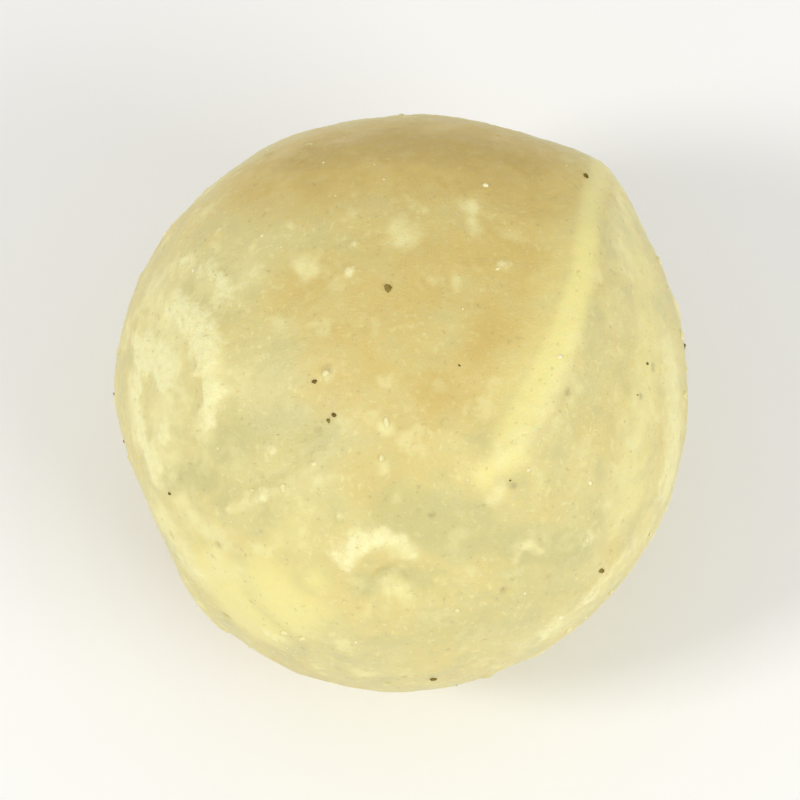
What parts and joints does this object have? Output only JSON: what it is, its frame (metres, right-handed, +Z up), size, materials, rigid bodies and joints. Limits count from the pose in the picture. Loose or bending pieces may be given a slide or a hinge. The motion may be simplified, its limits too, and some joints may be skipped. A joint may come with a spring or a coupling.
{
  "type": "shelled macadamia nut kernel",
  "caption": "Near-round shelled macadamia kernel with a raised crest, a shallow toasted hollow and a blunt tip, resting on a small flat spot.",
  "frame": {"origin": "on the surface it rests on, under the middle of the kernel's outline", "axes": "+Z up from the flat spot, through the kernel's shortest extent. The side with the crest and the toasted hollow faces up and towards -Y."},
  "size_m": [0.0194, 0.0196, 0.018],
  "materials": {
    "kernel_flesh": "waxy cream flesh, toasted tan in the hollow, with chalky patches and a soft oily gloss"
  },
  "bodies": {
    "root": {"kernel": "kernel_flesh"}
  },
  "joints": []
}
